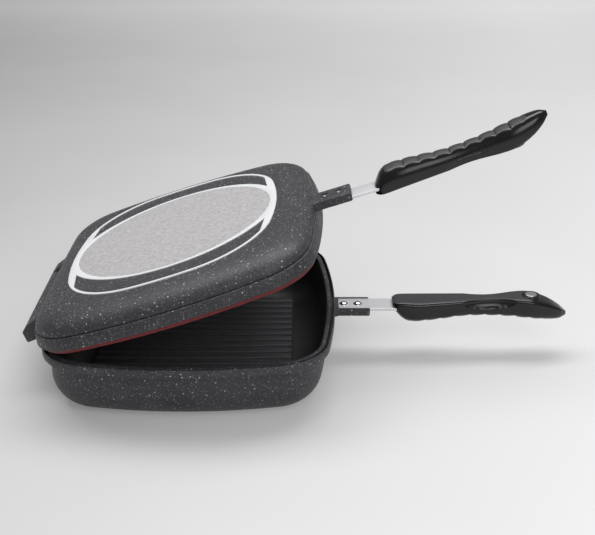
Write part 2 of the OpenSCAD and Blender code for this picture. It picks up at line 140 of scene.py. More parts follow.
# Middle parts of a noise's values, over which a tone or a roughness changes
NARROW: Pair = (0.35, 0.65)
WIDE: Pair = (0.3, 0.7)
# Part of a speck's radius that has its full strength, and strength of the faintest speck
SPECK_CORE = 0.55
SPECK_FAINTEST = 0.35
# Numbers of the colour sockets on a mix node
MIX_INPUTS = (6, 7)
MIX_OUTPUT = 2


class Painter:
    """Builds one node material, with every pattern on Object coordinates."""

    def __init__(self, name: str) -> None:
        """Start a material.

        Args:
            name: the material's name.
        """
        self.material: Material = bpy.data.materials.new(name)
        self.material.use_nodes = True
        self.tree = self.material.node_tree
        self.surface: Node = self.tree.nodes["Principled BSDF"]
        self.where: NodeSocket = self.add("ShaderNodeTexCoord").outputs["Object"]

    def add(self, kind: str, **values: object) -> Node:
        """Add a node.

        Args:
            kind: the node's type.
            values: attributes to set on it.

        Returns:
            The new node.
        """
        node = self.tree.nodes.new(kind)
        for key, value in values.items():
            setattr(node, key, value)
        return node

    def link(self, start: NodeSocket, end: NodeSocket) -> None:
        """Join two sockets."""
        self.tree.links.new(start, end)

    def feed(self, name: str, value: NodeSocket) -> None:
        """Join a value to one of the surface's own sockets."""
        self.link(value, self.surface.inputs[name])

    def stretched(self, scale: Triple) -> NodeSocket:
        """Return Object coordinates scaled along each axis."""
        node = self.add("ShaderNodeMapping")
        node.inputs["Scale"].default_value = scale
        self.link(self.where, node.inputs["Vector"])
        return node.outputs["Vector"]

    def noise(self, scale: float, detail: float, rough: float, at: NodeSocket | None = None) -> NodeSocket:
        """Add a noise pattern.

        Args:
            scale: cells per metre.
            detail: octaves.
            rough: weight of the finer octaves.
            at: coordinates to use in place of Object coordinates.

        Returns:
            The noise value.
        """
        node = self.add("ShaderNodeTexNoise")
        for name, number in (("Scale", scale), ("Detail", detail), ("Roughness", rough)):
            node.inputs[name].default_value = number
        self.link(at or self.where, node.inputs["Vector"])
        return node.outputs["Fac"]

    def math(
        self, operation: str, first: NodeSocket, second: NodeSocket | float, clamp: bool = False
    ) -> NodeSocket:
        """Add a math node of two values and return its result."""
        node = self.add("ShaderNodeMath", operation=operation, use_clamp=clamp)
        self.link(first, node.inputs[0])
        if isinstance(second, NodeSocket):
            self.link(second, node.inputs[1])
        else:
            node.inputs[1].default_value = second
        return node.outputs["Value"]

    def span(self, value: NodeSocket, low: float, high: float, to_low: float, to_high: float) -> NodeSocket:
        """Map a value from one span to another, clamped."""
        node = self.add("ShaderNodeMapRange")
        for name, number in zip(("From Min", "From Max", "To Min", "To Max"), (low, high, to_low, to_high)):
            node.inputs[name].default_value = number
        self.link(value, node.inputs["Value"])
        return node.outputs["Result"]

    def specks(self, scale: float, size: float, share: float) -> NodeSocket:
        """Scatter small round specks.

        Args:
            scale: cells per metre.
            size: radius of a speck as a part of its cell.
            share: part of the cells that hold one.

        Returns:
            The strength of each speck, and 0 elsewhere.
        """
        cells = self.add("ShaderNodeTexVoronoi", feature="F1")
        cells.inputs["Scale"].default_value = scale
        self.link(self.where, cells.inputs["Vector"])
        parts = self.add("ShaderNodeSeparateColor")
        self.link(cells.outputs["Color"], parts.inputs["Color"])
        inside = self.span(cells.outputs["Distance"], size, size * SPECK_CORE, 0, 1)
        chosen = self.math("LESS_THAN", parts.outputs["Red"], share)
        strength = self.math("MULTIPLY", inside, chosen)
        return self.math("MULTIPLY", strength, self.span(parts.outputs["Green"], 0, 1, SPECK_FAINTEST, 1))

    def mix(self, share: NodeSocket, first: NodeSocket | Triple, second: NodeSocket | Triple) -> NodeSocket:
        """Mix two colours by a share and return the colour."""
        node = self.add("ShaderNodeMix", data_type="RGBA")
        self.link(share, node.inputs["Factor"])
        for index, colour in zip(MIX_INPUTS, (first, second)):
            if isinstance(colour, NodeSocket):
                self.link(colour, node.inputs[index])
            else:
                node.inputs[index].default_value = (*colour, 1)
        return node.outputs[MIX_OUTPUT]

    def bump(self, height: NodeSocket, strength: float, distance: float) -> None:
        """Raise the surface by a height pattern, in metres."""
        node = self.add("ShaderNodeBump")
        node.inputs["Strength"].default_value = strength
        node.inputs["Distance"].default_value = distance
        self.link(height, node.inputs["Height"])
        self.feed("Normal", node.outputs["Normal"])

    def set(self, **values: object) -> None:
        """Set constants on the surface's own sockets, with underscores for spaces."""
        for name, value in values.items():
            self.surface.inputs[name.replace("_", " ")].default_value = value


@dataclass(frozen=True)
class GraniteCoat:
    """Speckled dark coat on the outside of the castings."""

    dark: Triple = (0.021, 0.021, 0.0245)
    light: Triple = (0.070, 0.0695, 0.077)
    speck: Triple = (0.72, 0.72, 0.74)
    grain: Triple = (520, 4, 0.65)
    grain_span: Pair = (0.34, 0.66)
    grain_share: float = 0.75
    cloud: Triple = (38, 2, 0.5)
    fine: Triple = (520, 0.36, 0.44)
    fine_strength: float = 0.32
    coarse: Triple = (230, 0.20, 0.50)
    coarse_strength: float = 0.8
    rough: Pair = (0.42, 0.60)
    relief: Pair = (0.25, 0.0002)
    ior: float = 1.5

    def paint(self) -> Material:
        """Return the material."""
        p = Painter("granite_coat")
        grain = p.noise(*self.grain)
        cloud = p.span(p.noise(*self.cloud), *NARROW, 0, 1 - self.grain_share)
        tone = p.math("ADD", p.span(grain, *self.grain_span, 0, self.grain_share), cloud, True)
        fine, coarse = p.specks(*self.fine), p.specks(*self.coarse)
        base = p.mix(tone, self.dark, self.light)
        dusted = p.mix(p.math("MULTIPLY", fine, self.fine_strength), base, self.speck)
        p.feed("Base Color", p.mix(p.math("MULTIPLY", coarse, self.coarse_strength), dusted, self.speck))
        p.feed("Roughness", p.span(grain, *WIDE, *self.rough))
        p.bump(p.math("ADD", grain, fine), *self.relief)
        p.set(IOR=self.ior)
        return p.material


@dataclass(frozen=True)
class PlainCoat:
    """Surface with a fine grain: the inner coat of the pans, the plastic of the grips or the seal.

    Grain and smudge are given as cells per metre, octaves and weight of the finer ones, relief as
    strength and metres, dots as cells per metre, size and share.
    """

    name: str
    dark: Triple
    light: Triple
    grain: Triple
    smudge: Triple
    rough: Pair
    relief: Pair
    smudge_span: Pair = WIDE
    dots: Triple | None = None
    dot_strength: float = 0.6
    dot: Triple = (0.3, 0.3, 0.32)
    shine: float | None = None
    ior: float = 1.52

    def paint(self) -> Material:
        """Return the material."""
        p = Painter(self.name)
        grain = p.noise(*self.grain)
        base = p.mix(p.span(grain, *NARROW, 0, 1), self.dark, self.light)
        if self.dots:
            base = p.mix(p.math("MULTIPLY", p.specks(*self.dots), self.dot_strength), base, self.dot)
        p.feed("Base Color", base)
        p.feed("Roughness", p.span(p.noise(*self.smudge), *self.smudge_span, *self.rough))
        p.bump(grain, *self.relief)
        if self.shine is not None:
            p.set(IOR=self.ior, Specular_IOR_Level=self.shine)
        return p.material


@dataclass(frozen=True)
class TurnedMetal:
    """Bare metal with fine marks."""

    name: str
    low: Triple
    high: Triple
    metallic: float
    rough: Pair
    marks: float
    wear: Wear = Wear.NONE
    blotch: float = 45
    depth: float = 0.00003
    marks_share: float = 0.4
    blotch_span: Pair = (0.32, 0.68)
    relief: float = 0.3

    def paint(self) -> Material:
        """Return the material."""
        p = Painter(self.name)
        fine = p.noise(self.marks, 3, 0.6, p.stretched(self.wear.value))
        wide = p.span(p.noise(self.blotch, 4, 0.6), *self.blotch_span, 0, 1 - self.marks_share)
        tone = p.math("ADD", p.span(fine, *WIDE, 0, self.marks_share), wide, True)
        p.feed("Base Color", p.mix(tone, self.low, self.high))
        p.feed("Roughness", p.span(fine, *WIDE, *self.rough))
        p.bump(fine, self.relief, self.depth)
        p.set(Metallic=self.metallic)
        return p.material


@dataclass(frozen=True)
class StudioFloor:
    """Pale floor that glows to the lens by a curved amount, less towards the far left."""

    dark: Triple = (0.50, 0.50, 0.50)
    light: Triple = (0.53, 0.53, 0.53)
    cloud: Triple = (3, 2, 0.5)
    lift: float = 0.176
    lift_right: float = 0.344
    lift_far: float = -0.173
    lift_curve: float = 0.127
    lift_across: float = -0.074
    lift_x: Pair = (-0.9, 0.7)
    lift_y: Pair = (-0.4, 2.0)

    def paint(self) -> Material:
        """Return the material."""
        p = Painter("studio_floor")
        apart = p.add("ShaderNodeSeparateXYZ")
        p.link(p.where, apart.inputs["Vector"])
        p.feed("Base Color", p.mix(p.span(p.noise(*self.cloud), *WIDE, 0, 1), self.dark, self.light))
        rays = p.add("ShaderNodeLightPath").outputs
        seen = p.math("MAXIMUM", rays["Is Camera Ray"], rays["Is Glossy Ray"])
        seen = p.math("MAXIMUM", seen, rays["Is Transmission Ray"])
        x = p.span(apart.outputs["X"], *self.lift_x, *self.lift_x)
        y = p.span(apart.outputs["Y"], *self.lift_y, *self.lift_y)
        right = p.math("MULTIPLY", x, self.lift_right)
        bend = p.math("ADD", p.math("MULTIPLY", y, self.lift_curve), self.lift_far)
        bend = p.math("ADD", p.math("MULTIPLY", x, self.lift_across), bend)
        far = p.math("MULTIPLY", y, bend)
        glow = p.math("ADD", p.math("ADD", far, right), self.lift, True)
        p.feed("Emission Strength", p.math("MULTIPLY", seen, glow))
        p.set(Roughness=0.7, Specular_IOR_Level=0.2, Emission_Color=(1, 1, 1, 1))
        return p.material


class Finishes:
    """Every material of the object, painted once."""

    def __init__(self) -> None:
        """Paint them all."""
        cooking = PlainCoat(
            "cooking_coat", (0.011, 0.011, 0.012), (0.026, 0.026, 0.029), (900, 3, 0.6), (60, 2, 0.5),
            (0.40, 0.50), (0.15, 0.00012), NARROW, (330, 0.12, 0.12),
        )
        self.granite = GraniteCoat().paint()
        self.cooking = cooking.paint()
        # The ribs take the cooking coat painted several times lighter: painted light on the ribs against the
        # darker floor between them.
        self.painted_lit_ribs = replace(
            cooking, name="ribs_painted_lighter", dark=(0.044, 0.044, 0.049), light=(0.072, 0.072, 0.080)
        ).paint()
        self.machined = TurnedMetal(
            "machined_aluminium", (0.90, 0.90, 0.92), (0.98, 0.98, 1.0), 0.15, (0.30, 0.42), 1800
        ).paint()
        self.disc = TurnedMetal(
            "induction_steel", (0.44, 0.425, 0.43), (0.76, 0.74, 0.755), 0.30, (0.38, 0.50), 900,
            blotch=260, depth=0.000004,
        ).paint()
        self.strip = TurnedMetal(
            "strip_steel", (0.80, 0.80, 0.82), (0.90, 0.90, 0.92), 0.40, (0.28, 0.36), 1600,
            Wear.ALONG, depth=0.000006,
        ).paint()
        # Very dark steel: on the nuts in the boss pockets its darkness is painted shade of the pockets.
        self.screw = TurnedMetal(
            "screw_steel", (0.10, 0.10, 0.11), (0.20, 0.20, 0.21), 0.8, (0.30, 0.45), 1500
        ).paint()
        self.chrome = TurnedMetal(
            "screw_chrome", (0.66, 0.66, 0.67), (0.76, 0.76, 0.77), 1.0, (0.08, 0.16), 2200
        ).paint()
        self.magnet = TurnedMetal(
            "magnet_nickel", (0.62, 0.61, 0.59), (0.74, 0.73, 0.71), 0.9, (0.18, 0.30), 2000
        ).paint()
        self.gloss = PlainCoat(
            "grip_gloss", (0.004, 0.004, 0.005), (0.008, 0.008, 0.009), (1500, 3, 0.6), (24, 3, 0.55),
            (0.16, 0.24), (0.2, 0.00002), shine=0.42,
        ).paint()
        # Matt skin of the grips: a rougher, lighter finish on the ridge band; on the mating face its lighter
        # colour is painted light from above.
        self.matt = PlainCoat(
            "grip_matt", (0.030, 0.029, 0.033), (0.056, 0.053, 0.060), (1300, 3, 0.6), (24, 3, 0.55),
            (0.46, 0.58), (0.2, 0.00015), shine=0.4,
        ).paint()
        self.seal = PlainCoat(
            "seal_silicone", (0.13, 0.007, 0.008), (0.21, 0.013, 0.014), (150, 3, 0.6), (700, 2, 0.5),
            (0.45, 0.6), (0.1, 0.0001),
        ).paint()


# ---------------------------------------------------------------- workshop


def linked(name: str, data: ID) -> Object:
    """Return a new object in the scene."""
    thing = bpy.data.objects.new(name, data)
    bpy.context.scene.collection.objects.link(thing)
    return thing


def mesh_of(shape: BMesh, name: str = "scratch") -> Mesh:
    """Return a shape, which is freed, as a new mesh."""
    mesh = bpy.data.meshes.new(name)
    shape.to_mesh(mesh)
    shape.free()
    return mesh


def shape_to_object(
    name: str, shape: BMesh, place: Matrix, materials: list[Material], sharp: float = 30
) -> Object:
    """Turn a shape in millimetres into an object whose place is in its mesh.

    Args:
        name: the piece's name.
        shape: the finished bmesh, which is freed.
        place: where it stands, in millimetres.
        materials: its materials, in the order of the faces' indices.
        sharp: angle in degrees past which an edge stays sharp.

    Returns:
        The linked object.
    """
    placed = METRES @ place
    bmesh.ops.transform(shape, matrix=placed, verts=shape.verts[:])
    if placed.determinant() < 0:
        bmesh.ops.reverse_faces(shape, faces=shape.faces[:])
    mesh = mesh_of(shape, name)
    for material in materials:
        mesh.materials.append(material)
    mesh.shade_smooth()
    mesh.set_sharp_from_angle(angle=math.radians(sharp))
    return linked(name, mesh)


def outwards(shape: BMesh) -> BMesh:
    """Turn a closed shape's faces outwards."""
    bmesh.ops.recalc_face_normals(shape, faces=shape.faces[:])
    return shape


def moved(shape: BMesh, way: Triple, verts: list[BMVert] | None = None) -> BMesh:
    """Move a shape, or only some of its vertices."""
    bmesh.ops.translate(shape, vec=way, verts=shape.verts[:] if verts is None else verts)
    return shape


def verts_in(geometry: list) -> list[BMVert]:
    """Return the vertices among the parts that an operator gives back."""
    return [g for g in geometry if isinstance(g, BMVert)]


def fill_holes(shape: BMesh) -> None:
    """Close every open loop of a shape."""
    bmesh.ops.holes_fill(shape, edges=[e for e in shape.edges if e.is_boundary], sides=0)


def rounded(shape: BMesh, parts: set, width: float, segments: int = 2, affect: str = "EDGES") -> None:
    """Round edges of a shape, or with affect VERTICES the corners of a wire."""
    bmesh.ops.bevel(
        shape,
        geom=list(parts),
        offset=width,
        offset_type="OFFSET",
        segments=segments,
        profile=0.5,
        affect=affect,
        material=-1,
        clamp_overlap=affect == "EDGES",
    )


def block(shape: BMesh, low: Triple, high: Triple, edge: float = 0, segments: int = 2) -> list[BMVert]:
    """Add a box with rounded edges.

    Args:
        shape: the bmesh to add to.
        low: lowest corner.
        high: highest corner.
        edge: rounding of its edges.
        segments: steps in the rounding.

    Returns:
        The vertices of the box before rounding.
    """
    a, b = Vector(low), Vector(high)
    matrix = Matrix.Translation((a + b) / 2) @ Matrix.Diagonal((*(b - a), 1))
    verts = bmesh.ops.create_cube(shape, size=1, matrix=matrix)["verts"]
    if edge:
        rounded(shape, {e for v in verts for e in v.link_edges}, edge, segments)
    return verts


def rod(shape: BMesh, radius: float, length: float, segments: int, y: float = 0) -> None:
    """Add a rod that lies along Y.

    Args:
        shape: the bmesh to add to.
        radius: its radius.
        length: its length.
        segments: steps round it.
        y: where its middle lies.
    """
    bmesh.ops.create_cone(
        shape,
        cap_ends=True,
        segments=segments,
        radius1=radius,
        radius2=radius,
        depth=length,
        matrix=Matrix.Translation((0, y, 0)) @ turned(90, "X"),
    )


@dataclass(frozen=True)
class Corner:
    """A corner of a section: distance inwards or outwards, height and rounding."""

    across: float
    height: float
    round: float = 0
    steps: int = 4


def draw_section(shape: BMesh, corners: list[Corner], start: Vector, out: Vector, ring: bool) -> None:
    """Draw a wire section and round its corners.

    Args:
        shape: an empty bmesh.
        corners: the section's corners in order.
        start: where the section's zero lies.
        out: direction of a positive distance.
        ring: whether the last corner joins the first.
    """
    verts = [shape.verts.new(start + out * c.across + Vector((0, 0, c.height))) for c in corners]
    pairs = list(zip(verts, verts[1:])) + ([(verts[-1], verts[0])] if ring else [])
    for pair in pairs:
        shape.edges.new(pair)
    for vert, corner in zip(verts, corners):
        if corner.round:
            rounded(shape, {vert}, corner.round, corner.steps, "VERTICES")


def turned_shape(corners: list[Corner], steps: int) -> BMesh:
    """Spin a section, given as radius and height, about the Z axis into a closed shape."""
    shape = bmesh.new()
    draw_section(shape, corners, Vector((0, 0, 0)), Vector((1, 0, 0)), False)
    profile = shape.verts[:] + shape.edges[:]
    bmesh.ops.spin(
        shape, geom=profile, cent=(0, 0, 0), axis=(0, 0, 1), angle=math.tau, steps=steps, use_merge=True
    )
    bmesh.ops.remove_doubles(shape, verts=shape.verts[:], dist=WELD)
    return outwards(shape)


def carved(body: BMesh, cutters: list[BMesh]) -> BMesh:
    """Cut closed shapes out of a closed shape.

    Args:
        body: the shape to cut, which is freed.
        cutters: the shapes to take away, which are freed.

    Returns:
        The cut shape as a new bmesh.
    """
    scratch = [linked("scratch", mesh_of(shape)) for shape in (body, *cutters)]
    for cutter in scratch[1:]:
        cut = scratch[0].modifiers.new("cut", "BOOLEAN")
        cut.operation, cut.solver, cut.object = "DIFFERENCE", "EXACT", cutter
    bpy.context.view_layer.update()
    seen = scratch[0].evaluated_get(bpy.context.evaluated_depsgraph_get())
    result = bmesh.new()
    result.from_mesh(seen.to_mesh())
    seen.to_mesh_clear()
    for piece in scratch:
        mesh = piece.data
        bpy.data.objects.remove(piece)
        bpy.data.meshes.remove(mesh)
    bmesh.ops.remove_doubles(result, verts=result.verts[:], dist=WELD)
    return result


def join(shapes: list[BMesh]) -> BMesh:
    """Put several shapes, which are freed, into one bmesh."""
    whole = bmesh.new()
    for shape in shapes:
        mesh = mesh_of(shape)
        whole.from_mesh(mesh)
        bpy.data.meshes.remove(mesh)
    return whole


def soften(piece: Object, width: float) -> None:
    """Round every edge of a piece sharper than 40 degrees, by a width in metres."""
    bevel = piece.modifiers.new("soften", "BEVEL")
    bevel.width = width
    bevel.segments = 2
    bevel.limit_method = "ANGLE"
    bevel.angle_limit = math.radians(40)


def dress(piece: Object, half: Half, slot: str, *nodes: str) -> Object:
    """Put a piece on its body and hide the CAD nodes that it stands for."""
    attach(piece, half.value)
    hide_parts(*nodes)
    log.info("%s: %d faces", piece.name, len(piece.data.polygons))
    return piece


@dataclass(frozen=True)
class Piece:
    """One visible piece of a half: its shape in millimetres and what it is dressed with."""

    name: str
    shape: BMesh
    place: Matrix
    materials: list[Material]
    slot: str
    node: str
    sharp: float = 30
    edge: float = 0

    def make(self, half: Half) -> None:
        """Make and dress the piece."""
        piece = shape_to_object(self.name, self.shape, self.place, self.materials, self.sharp)
        if self.edge:
            soften(piece, self.edge)
        dress(piece, half, self.slot, self.node)


# ---------------------------------------------------------------- outlines


@dataclass(frozen=True)
class Arc:
    """One arc of an outline, in millimetres and radians."""

    x: float
    y: float
    radius: float
    start: float
    sweep: float

    def point(self, inset: float, k: int, steps: int) -> Vector:
        """Return the point after some of the steps of the arc, moved inwards."""
        angle, reach = self.start + self.sweep * k / steps, self.radius - inset
        return Vector((self.x + reach * math.cos(angle), self.y + reach * math.sin(angle), 0))


@dataclass(frozen=True)
class Outline:
    """A rounded rectangle whose four sides bulge, made of eight tangent arcs."""

    half_x: float
    half_y: float
    bulge_x: float
    bulge_y: float
    corner: float
    hinge_x: float
    hinge_bulge: float

    def quarter(self, half_x: float, bulge_x: float) -> tuple[Vector, float, float]:
        """Find the corner between one end and a long side.

        Args:
            half_x: half length to that end.
            bulge_x: bulge radius of that end.

        Returns:
            The corner's centre, and the angles at which the end and the long side meet it.
        """
        first = Vector((half_x - bulge_x, 0))
        second = Vector((0, self.half_y - self.bulge_y))
        far, near = bulge_x - self.corner, self.bulge_y - self.corner
        gap = (second - first).length
        unit = (second - first) / gap
        along = (far**2 - near**2 + gap**2) / (2 * gap)
        off = math.sqrt(far**2 - along**2)
        centre = first + unit * along + Vector((-unit.y, unit.x)) * off
        end = math.atan2(centre.y, centre.x - first.x)
        return centre, end, math.atan2(centre.y - second.y, centre.x)

    def arcs(self) -> list[Arc]:
        """Return the eight arcs, counter-clockwise from the handle side."""
        (x, y), a, b = self.quarter(self.half_x, self.bulge_x)
        (u, v), p, q = self.quarter(self.hinge_x, self.hinge_bulge)
        end, hinge_end = self.bulge_x - self.half_x, self.hinge_bulge - self.hinge_x
        side, half_turn = self.bulge_y - self.half_y, math.pi - b - q
        return [
            Arc(-end, 0, self.bulge_x, -a, 2 * a),
            Arc(x, y, self.corner, a, b - a),
            Arc(0, -side, self.bulge_y, b, half_turn),
            Arc(-u, v, self.corner, math.pi - q, q - p),
            Arc(hinge_end, 0, self.hinge_bulge, math.pi - p, 2 * p),
            Arc(-u, -v, self.corner, math.pi + p, q - p),
            Arc(0, side, self.bulge_y, math.pi + q, half_turn),
            Arc(x, -y, self.corner, math.tau - b, b - a),
        ]

    def points(self, inset: float, steps: int) -> list[Vector]:
        """Return points on the outline moved inwards."""
        return [arc.point(inset, k, steps) for arc in self.arcs() for k in range(steps)]

    def sweep(self, corners: list[Corner], steps: int, ring: bool) -> BMesh:
        """Sweep a section round the outline.

        Args:
            corners: the section, as inset and height.
            steps: steps in each arc.
            ring: whether the section is closed.

        Returns:
            The swept shape. An open section leaves two round holes, which are filled.
        """
        shape = bmesh.new()
        arcs = self.arcs()
        heading = Vector((math.cos(arcs[0].start), math.sin(arcs[0].start), 0))
        start = Vector((arcs[0].x, arcs[0].y, 0)) + heading * arcs[0].radius
        draw_section(shape, corners, start, -heading, ring)
        profile = shape.verts[:] + shape.edges[:]
        for arc in arcs:
            profile = bmesh.ops.spin(
                shape, geom=profile, cent=(arc.x, arc.y, 0), axis=(0, 0, 1), angle=arc.sweep, steps=steps
            )["geom_last"]
        bmesh.ops.remove_doubles(shape, verts=shape.verts[:], dist=WELD * 5)
        if not ring:
            fill_holes(shape)
        return outwards(shape)


def wire_loop(shape: BMesh, points: list[Vector]) -> None:
    """Draw a closed loop of edges."""
    verts = [shape.verts.new(p) for p in points]
    for pair in zip(verts, verts[1:] + verts[:1]):
        shape.edges.new(pair)


# ---------------------------------------------------------------- castings


@dataclass(frozen=True)
class DomedScrew:
    """Domed screw with a crossed slot, drawn from the face of the strip."""

    radius: float = 4.75
    height: float = 2.2
    foot: float = 0.15
    slot: Triple = (2.1, 0.42, 1.1)
    slot_turn: float = 20
    collar_r: float = 4.6
    collar_h: float = 0.3
    shank_r: float = 2
    shank_end: float = -7.8
    shank_edge: float = 0.3
    lap: float = 0.2
    steps: int = 40
    shank_steps: int = 28

    def head(self) -> BMesh:
        """Return the dome with its slot."""
        ball = (self.radius**2 + self.height**2) / (2 * self.height)
        head = bmesh.new()
        centre = raised(self.height - ball)
        bmesh.ops.create_uvsphere(
            head, u_segments=self.steps, v_segments=self.steps, radius=ball, matrix=centre
        )
        whole = head.verts[:] + head.edges[:] + head.faces[:]
        bmesh.ops.bisect_plane(
            head, geom=whole, plane_co=(0, 0, self.foot), plane_no=(0, 0, 1), clear_inner=True
        )
        fill_holes(head)
        length, width, depth = self.slot
        slots = []
        for turn in (0, 90):
            slot = bmesh.new()
            block(slot, (-length, -width, self.height - depth), (length, width, self.height + 1))
            turning = Matrix.Rotation(math.radians(turn + self.slot_turn), 3, "Z")
            bmesh.ops.rotate(slot, matrix=turning, verts=slot.verts[:])
            slots.append(slot)
        return carved(outwards(head), slots)

    def at(self, x: float) -> BMesh:
        """Return head, collar and shank at a place along the strip."""
        top, end, r = self.collar_h, self.shank_end, self.shank_r
        collar = [Corner(0, 0), Corner(self.radius, 0), Corner(self.collar_r, top), Corner(0, top)]
        shank = [Corner(0, end), Corner(r, end, self.shank_edge), Corner(r, self.lap), Corner(0, self.lap)]
        parts = [self.head(), turned_shape(collar, self.steps), turned_shape(shank, self.shank_steps)]
        return moved(join(parts), (x, 0, 0))


@dataclass
class PanHalf:
    """One cast half: shell, base ring with its disc, handle boss and its side of the hinge."""

    finishes: Finishes
    half: Half = Half.LOWER
    places: Places = Places()
    outline: Outline = Outline(145, 157, 694, 475, 55, 138, 3000)
    foot: Outline = Outline(108.3, 124.2, 328, 308, 82, 108.3, 328)
    foot_h: float = 0.9
    foot_w: float = 3
    foot_lap: float = 0.6
    foot_edge: float = 0.3
    floor_t: float = 5
    rim_zone: float = 2
    reach: float = 54
    land: Pair = (109.8, 97.6)
    land_steps: int = 144
    disc_half: Pair = (101.4, 93.9)
    disc_t: float = 1.6
    disc_fit: float = 0.15
    disc_edge: float = 0.004
    hollow_x: float = 99
    hollow_tip: float = 4
    boss_root: float = 137
    boss_end: float = 181
    boss_half: float = 14
    boss_lip: float = 0.8
    boss_floor: float = 5.5
    boss_edge: float = 1.6
    boss_bevel: float = 0.0004
    channel_start: float = 148
    channel_fit: float = 0.1
    cut_past: Pair = (5, 4)
    pocket: Triple = (3.7, 5.5, 2.8)
    pocket_edge: float = 1.8
    flare_lap: float = 1.5
    flare_top: float = 0.4
    flare_wide: float = 1.22
    flare_drop: float = 1
    flare_edge: float = 1.2
    strip_t: float = 2.5
    strip_w: float = 24.5
    strip_gap: float = 0.5
    strip_lap: float = 4.2
    strip_edge: float = 0.35
    neck: Triple = (-0.5, 150.2, 7)
    neck_edge: float = 0.3
    screw_x: Pair = (154.4, 168.8)
    arc_steps: int = 22

    def section(self) -> list[Corner]:
        """Return the wall section from the middle of the base out and back to the middle."""
        raise NotImplementedError

    def hinge_side(self) -> BMesh:
        """Return what this half adds to the hinge, drawn from the hinge axis."""
        raise NotImplementedError

    def shell(self) -> BMesh:
        """Return walls and floor, with the cooking side in the second material."""
        shape = self.outline.sweep(self.section(), self.arc_steps, False)
        floor_top = max(c.height for c in self.section()) - self.rim_zone
        for face in shape.faces:
            middle = face.calc_center_median()
            outward = Vector((middle.x / self.outline.half_x, middle.y / self.outline.half_y, 0)).normalized()
            inner_wall = face.normal.dot(outward) < -FACING
            cooking_floor = face.normal.z > FACING and middle.z < floor_top
            face.material_index = 1 if inner_wall or cooking_floor else 0
        return shape

    def foot_plate(self) -> BMesh:
        """Return the machined ring and oval land, with the coated hollows left open."""
        shape = bmesh.new()
        wire_loop(shape, self.foot.points(0, self.arc_steps))
        (land_x, land_y), (disc_x, disc_y) = self.land, self.disc_half
        turns = [math.tau * k / self.land_steps for k in range(self.land_steps)]
        land = [Vector((land_x * math.cos(turn), land_y * math.sin(turn), 0)) for turn in turns]
        inner = [p for p in land if p.y > 0 and abs(p.x) < self.hollow_x]
        tip = self.hollow_x - self.hollow_tip
        outer = [p for p in self.foot.points(self.foot_w, self.arc_steps) if p.y > 0 and abs(p.x) < tip]
        hollow = outer + inner[::-1]
        wire_loop(shape, hollow)
        wire_loop(shape, [Vector((p.x, -p.y, 0)) for p in hollow])
        wire_loop(shape, [Vector((p.x / land_x * disc_x, p.y / land_y * disc_y, 0)) for p in land])
        bmesh.ops.triangle_fill(
            shape, use_beauty=True, use_dissolve=False, edges=shape.edges[:], normal=(0, 0, -1)
        )
        lifted = bmesh.ops.extrude_face_region(shape, geom=shape.faces[:])["geom"]
        moved(shape, (0, 0, self.foot_h + self.foot_lap), verts_in(lifted))
        outwards(shape)
        low = [e for e in shape.edges if all(abs(v.co.z) < LEVEL for v in e.verts)]
        rims = {e for e in low if len(e.link_faces) == 2 and e.calc_face_angle(0) > CORNER_TURN}
        rounded(shape, rims, self.foot_edge)
        return shape

    def disc(self) -> BMesh:
        """Return the steel disc that is pressed into the base."""
        top, (x, y) = self.disc_t, self.disc_half
        shape = turned_shape(
            [Corner(0, 0), Corner(1, 0, self.disc_edge, 3), Corner(1, top), Corner(0, top)], self.land_steps
        )
        bmesh.ops.scale(shape, vec=(x - self.disc_fit, y - self.disc_fit, 1), verts=shape.verts[:])
        return shape

    def boss(self) -> BMesh:
        """Return the channel that holds the strip, drawn from the strip's face."""
        body, channel = bmesh.new(), bmesh.new()
        low = -self.strip_t - self.boss_floor
        block(body, (self.boss_root, -self.boss_half, low), (self.boss_end, self.boss_half, self.boss_lip))
        under = {e for e in body.edges if all(v.co.z < low + LEVEL for v in e.verts)}
        ends = {e for e in body.edges if all(v.co.x > self.boss_end - LEVEL for v in e.verts)}
        rounded(body, under | ends, self.boss_edge, 3)
        wide, (along, over) = self.strip_w / 2 + self.channel_fit, self.cut_past
        block(
            channel,
            (self.channel_start, -wide, -self.strip_t),
            (self.boss_end + along, wide, self.boss_lip + over),
        )
        cuts = [channel]
        half_x, half_y, deep = self.pocket
        for x in self.screw_x:
            pocket = bmesh.new()
            block(pocket, (x - half_x, -half_y, low - over), (x + half_x, half_y, low + deep))
            upright = {e for e in pocket.edges if abs(e.verts[0].co.z - e.verts[1].co.z) > 1}
            rounded(pocket, upright, self.pocket_edge, 4)
            cuts.append(pocket)
        return carved(body, cuts)

    def boss_root_flare(self) -> BMesh:
        """Return the cast flare where the boss leaves the rim band."""
        shape = bmesh.new()
        low = (self.boss_root, -self.boss_half, -self.strip_t - self.boss_floor)
        verts = block(shape, low, (self.channel_start + self.flare_lap, self.boss_half, self.flare_top))
        wide = [v for v in verts if v.co.x < self.boss_root + 1]
        bmesh.ops.scale(shape, vec=(1, self.flare_wide, 1), verts=wide)
        moved(shape, (0, 0, -self.flare_drop), [v for v in wide if v.co.z < -1])
        rounded(shape, set(shape.edges), self.flare_edge, 3)
        return shape

    def strip(self) -> BMesh:
        """Return the wide part of the steel strip, drawn from its face."""
        shape = bmesh.new()
        start, end = self.channel_start + self.strip_gap, self.places.nose_x + self.strip_lap
        wide = self.strip_w / 2
        block(shape, (start, -wide, -self.strip_t), (end, wide, 0), self.strip_edge, 3)
        return shape

    def strip_end(self) -> BMesh:
        """Return the narrow part of the strip inside the grip, drawn from the grip's nose."""
        shape = bmesh.new()
        top, (start, end, wide) = -self.places.strip_depth, self.neck
        block(shape, (start, -wide, top - self.strip_t), (end, wide, top), self.neck_edge)
        return shape

